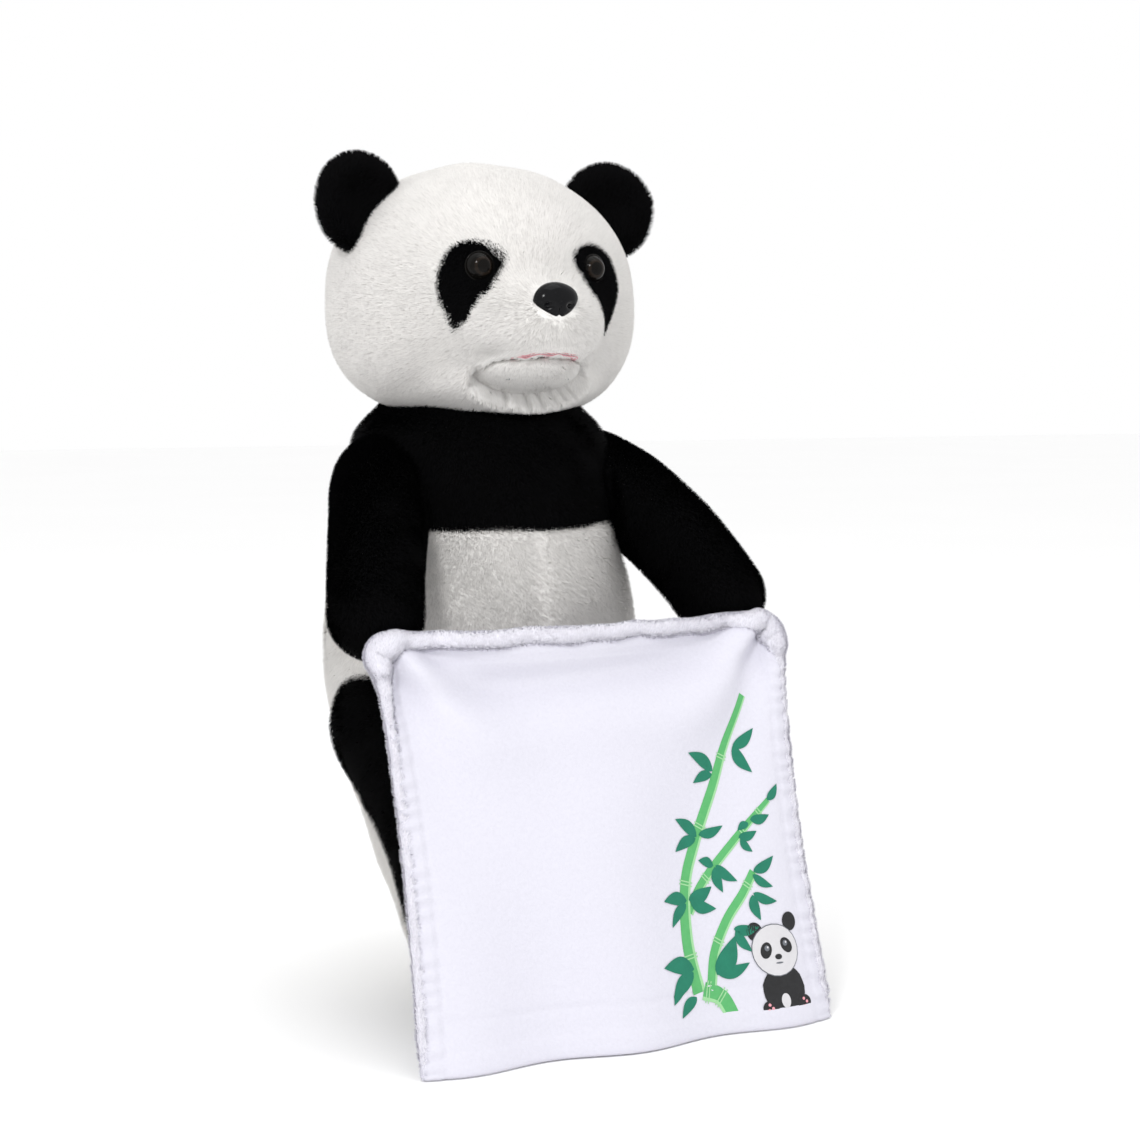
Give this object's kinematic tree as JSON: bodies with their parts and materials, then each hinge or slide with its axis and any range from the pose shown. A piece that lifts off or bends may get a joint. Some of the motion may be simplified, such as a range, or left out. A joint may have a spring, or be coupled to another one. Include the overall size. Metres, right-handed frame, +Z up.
{
  "type": "animated plush panda",
  "caption": "Seated plush panda whose geared arms lift a hemmed blanket in front of its face while the lower lip opens.",
  "frame": {"origin": "on the flat face under the seat, straight below the axis of the neck, at floor level", "axes": "+Z up through the head, -Y the way the face looks, +X to the toy's own left"},
  "size_m": [0.1694, 0.1919, 0.3017],
  "materials": {
    "white_plush": "short white pile",
    "black_plush": "short black pile",
    "filling": "polyester fibre filling",
    "blanket_cloth": "brushed knit",
    "blanket_trim": "fluffy binding",
    "felt_pink": "matte felt",
    "plastic_black": "polished",
    "plastic_white": "moulded",
    "plastic_grey": "moulded",
    "speaker_black": "paper cone in a plastic frame",
    "steel": "plated",
    "board": "solder mask",
    "cell_jacket": "printed jacket"
  },
  "bodies": {
    "torso": {"body_cover": "white_plush", "chest_cover": "black_plush", "body_stuffing": "filling", "spine_frame": "plastic_grey", "gearbox_front": "plastic_grey", "gearbox_rear": "plastic_grey", "arm_motor": "steel", "gear_pin": "steel", "circuit_board": "board", "speaker": "speaker_black", "battery_box": "plastic_grey", "battery_door": "plastic_grey", "door_screw": "steel", "cell_1": "cell_jacket", "cell_2": "cell_jacket", "cell_3": "cell_jacket", "battery_contact_left": "steel", "battery_contact_right": "steel", "neck_post": "plastic_grey", "head_frame": "plastic_grey", "head_cover": "white_plush", "head_stuffing": "filling", "ear_left": "black_plush", "ear_right": "black_plush", "eye_patch_left": "black_plush", "eye_patch_right": "black_plush", "eye_left": "plastic_black", "eye_right": "plastic_black", "eye_washer_left": "plastic_white", "eye_washer_right": "plastic_white", "nose": "plastic_black", "nose_washer": "plastic_white", "mouth_lining": "felt_pink", "jaw_motor": "steel", "jaw_pin": "steel", "leg_cover_left": "black_plush", "leg_cover_right": "black_plush", "leg_stuffing_left": "filling", "leg_stuffing_right": "filling", "button_case": "plastic_white", "button_spring": "steel"},
    "arms": {"shoulder_shaft": "steel", "arm_gear": "plastic_white", "arm_cover_left": "black_plush", "arm_cover_right": "black_plush", "arm_stuffing_left": "filling", "arm_stuffing_right": "filling", "arm_lever_left": "plastic_grey", "arm_lever_right": "plastic_grey"},
    "gear_stage": {"reduction_gear": "plastic_white"},
    "motor_rotor": {"motor_pinion": "steel"},
    "blanket": {"blanket": "blanket_cloth", "blanket_trim": "blanket_trim"},
    "jaw": {"jaw_frame": "plastic_grey", "chin_cover": "white_plush", "tongue": "felt_pink"},
    "jaw_rotor": {"jaw_pinion": "steel"},
    "button": {"play_button": "plastic_white"},
    "switch": {"power_switch": "plastic_black"},
    "flap": {"back_flap": "white_plush"}
  },
  "joints": [
    {"name": "arm_lift", "type": "hinge", "parent": "torso", "child": "arms", "pos_m": [0, -0.01, 0.183], "axis": [-1, 0, 0], "range_deg": [0, 80]},
    {"name": "gear_spin", "type": "hinge", "parent": "torso", "child": "gear_stage", "pos_m": [0, -0.01, 0.1622], "axis": [-1, 0, 0], "range_deg": [-290, 10]},
    {"name": "motor_spin", "type": "hinge", "parent": "torso", "child": "motor_rotor", "pos_m": [0, -0.01, 0.1478], "axis": [-1, 0, 0], "range_deg": [-10, 860]},
    {"name": "blanket_swing", "type": "hinge", "parent": "arms", "child": "blanket", "pos_m": [0, -0.0863, 0.123], "axis": [-1, 0, 0], "range_deg": [-105, 2]},
    {"name": "jaw_open", "type": "hinge", "parent": "torso", "child": "jaw", "pos_m": [0, -0.008, 0.228], "axis": [1, 0, 0], "range_deg": [0, 14]},
    {"name": "jaw_rotor_spin", "type": "hinge", "parent": "torso", "child": "jaw_rotor", "pos_m": [0, -0.008, 0.2448], "axis": [1, 0, 0], "range_deg": [-40, 2]},
    {"name": "play_press", "type": "slide", "parent": "torso", "child": "button", "axis": [0, 1, 0], "range_m": [0, 0.002], "stiffness_N_per_m": 1200, "deforming": ["button_spring"]},
    {"name": "power_slide", "type": "slide", "parent": "torso", "child": "switch", "axis": [1, 0, 0], "range_m": [0, 0.004]},
    {"name": "flap_open", "type": "hinge", "parent": "torso", "child": "flap", "pos_m": [0, 0.0562, 0.1462], "axis": [1, 0, 0], "range_deg": [0, 110]}
  ],
  "couplings": [
    {"joint": "gear_spin", "follows": "arm_lift", "ratio": -3.3333},
    {"joint": "motor_spin", "follows": "arm_lift", "ratio": 10},
    {"joint": "blanket_swing", "follows": "arm_lift", "ratio": -1.2},
    {"joint": "jaw_rotor_spin", "follows": "jaw_open", "ratio": -2.5}
  ]
}
